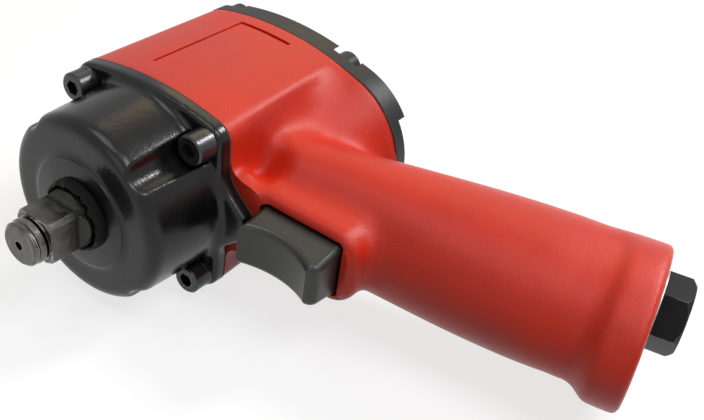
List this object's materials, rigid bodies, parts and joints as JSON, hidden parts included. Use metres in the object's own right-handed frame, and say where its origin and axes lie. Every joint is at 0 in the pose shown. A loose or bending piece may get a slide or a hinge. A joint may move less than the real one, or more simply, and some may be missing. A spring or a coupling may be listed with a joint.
{
  "type": "air impact wrench",
  "caption": "Compact pistol-grip air impact wrench with a square drive anvil, twin rocking hammers, vane motor, pull trigger, rear regulator knob and air inlet in the handle end.",
  "frame": {"origin": "on the drive axis, at the shoulder that a socket seats against", "axes": "+X back along the drive axis from anvil to rear cover, -Y down the handle, +Z out of the tool's left side, which faces up as the tool lies on its right side"},
  "size_m": [0.1124, 0.1752, 0.06],
  "materials": {
    "satin_steel": "satin machined steel, oily in places",
    "hard_steel": "hardened steel with a light oil film",
    "black_bolt": "black oxide socket screw",
    "case_black": "gloss black paint over a casting",
    "housing_red": "fine textured red powder coat over a casting",
    "cover_black": "matte black paint over a casting",
    "trigger_plastic": "satin dark grey moulding",
    "knob_plastic": "matte black moulding",
    "inlet_steel": "black oxide with a bright chamfer",
    "washer_steel": "plain steel",
    "bronze": "sintered bronze bushing",
    "gasket_fibre": "thin grey fibre gasket",
    "rubber_black": "black nitrile rubber",
    "vane_resin": "laminated resin vane",
    "bright_alloy": "machined aluminium",
    "felt_grey": "felt silencer pad"
  },
  "bodies": {
    "housing": {"motor_housing": "housing_red", "hammer_case": "case_black", "anvil_bushing": "bronze", "hammer_case_bolts": "black_bolt", "hammer_case_washers": "black_bolt", "front_gasket": "gasket_fibre", "front_end_plate": "hard_steel", "front_bearing": "satin_steel", "motor_cylinder": "hard_steel", "cylinder_dowels": "hard_steel", "rear_end_plate": "hard_steel", "rear_bearing": "satin_steel", "rear_gasket": "gasket_fibre", "rear_cover": "cover_black", "rear_cover_bolts": "black_bolt", "rear_cover_washers": "washer_steel", "throttle_bushing": "bronze", "throttle_spring": "satin_steel", "air_inlet": "inlet_steel", "inlet_washer": "washer_steel", "inlet_screen": "bright_alloy", "exhaust_deflector": "cover_black", "muffler": "felt_grey"},
    "anvil": {"anvil": "satin_steel", "socket_retainer_ring": "satin_steel", "retainer_o_ring": "rubber_black"},
    "rotor": {"rotor": "hard_steel", "rotor_vanes": "vane_resin", "hammer_cage": "hard_steel", "hammer_pins": "hard_steel"},
    "front_hammer": {"hammer_front": "hard_steel"},
    "rear_hammer": {"hammer_rear": "hard_steel"},
    "trigger": {"trigger": "trigger_plastic", "trigger_pin": "satin_steel", "throttle_valve": "bright_alloy", "throttle_seal": "rubber_black"},
    "regulator": {"reverse_valve": "bright_alloy", "spool_o_ring": "rubber_black", "regulator_knob": "knob_plastic", "knob_screw": "satin_steel"}
  },
  "joints": [
    {"name": "rotor_spin", "type": "hinge", "parent": "housing", "child": "rotor", "pos_m": [0.0399, 0, 0], "axis": [1, 0, 0], "continuous": true},
    {"name": "anvil_spin", "type": "hinge", "parent": "housing", "child": "anvil", "pos_m": [0.0029, 0, 0], "axis": [1, 0, 0], "continuous": true},
    {"name": "front_hammer_rock", "type": "hinge", "parent": "rotor", "child": "front_hammer", "pos_m": [0.0169, 0, 0.0162], "axis": [1, 0, 0], "range_deg": [0, 9]},
    {"name": "rear_hammer_rock", "type": "hinge", "parent": "rotor", "child": "rear_hammer", "pos_m": [0.0234, 0, -0.0162], "axis": [1, 0, 0], "range_deg": [0, 9]},
    {"name": "trigger_pull", "type": "slide", "parent": "housing", "child": "trigger", "axis": [1, 0, 0], "range_m": [0, 0.007], "stiffness_N_per_m": 1500, "springref_m": -0.005, "deforming": ["throttle_spring"]},
    {"name": "regulator_turn", "type": "hinge", "parent": "housing", "child": "regulator", "pos_m": [0.0871, -0.0355, 0], "axis": [1, 0, 0], "range_deg": [-60, 60]}
  ],
  "couplings": [
    {"joint": "anvil_spin", "follows": "rotor_spin", "ratio": 1}
  ]
}
